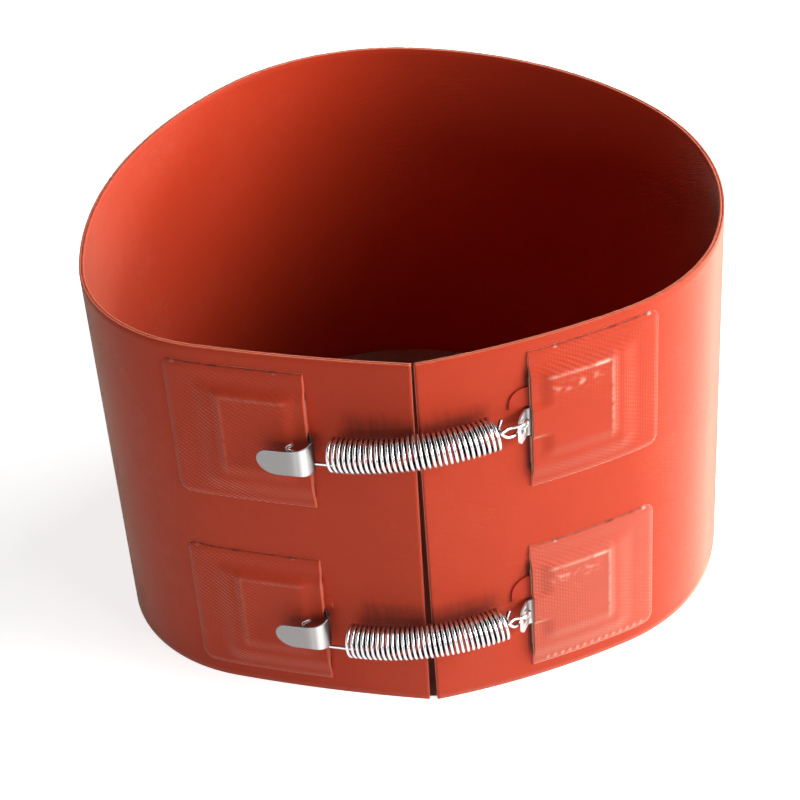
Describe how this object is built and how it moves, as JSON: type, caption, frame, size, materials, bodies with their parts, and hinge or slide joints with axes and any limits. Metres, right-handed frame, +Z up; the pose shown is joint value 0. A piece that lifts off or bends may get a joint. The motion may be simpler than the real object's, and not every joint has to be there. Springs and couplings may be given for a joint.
{
  "type": "silicone drum heater band",
  "caption": "Red silicone rubber heater band stood on edge and closed into a loop by coil tension springs between steel strip hooks and pierced tabs.",
  "frame": {"origin": "middle of the footprint of the band with its springs and lead patch, at the lower edge", "axes": "+Z up along the band's height, the seam with its springs faces -Y, the tab side is +X and the hook side -X"},
  "size_m": [0.2776, 0.2964, 0.18],
  "materials": {
    "silicone": "satin",
    "foil": "satin",
    "brass": "satin",
    "strip_steel": "brushed",
    "plated_sheet": "polished",
    "spring_wire": "polished"
  },
  "bodies": {
    "band": {"outer_sheet": "silicone", "inner_sheet": "silicone", "heating_element": "foil", "lead_patch": "silicone", "terminal_tab_side": "brass", "terminal_hook_side": "brass", "upper_hook_patch": "silicone", "upper_hook_liner": "silicone", "upper_spring_hook": "strip_steel", "upper_tab_patch": "silicone", "upper_tab_liner": "silicone", "upper_spring_tab": "plated_sheet", "lower_hook_patch": "silicone", "lower_hook_liner": "silicone", "lower_spring_hook": "strip_steel", "lower_tab_patch": "silicone", "lower_tab_liner": "silicone", "lower_spring_tab": "plated_sheet"},
    "upper_spring": {"upper_spring": "spring_wire"},
    "lower_spring": {"lower_spring": "spring_wire"}
  },
  "joints": [
    {"name": "upper_spring_stretch", "type": "slide", "parent": "band", "child": "upper_spring", "axis": [-0.9219, 0.378, -0.0848], "range_m": [0, 0.005], "stiffness_N_per_m": 675.1, "springref_m": -0.0183, "deforming": ["upper_spring"]},
    {"name": "lower_spring_stretch", "type": "slide", "parent": "band", "child": "lower_spring", "axis": [-0.923, 0.3785, -0.07], "range_m": [0, 0.005], "stiffness_N_per_m": 675.1, "springref_m": -0.0183, "deforming": ["lower_spring"]}
  ]
}
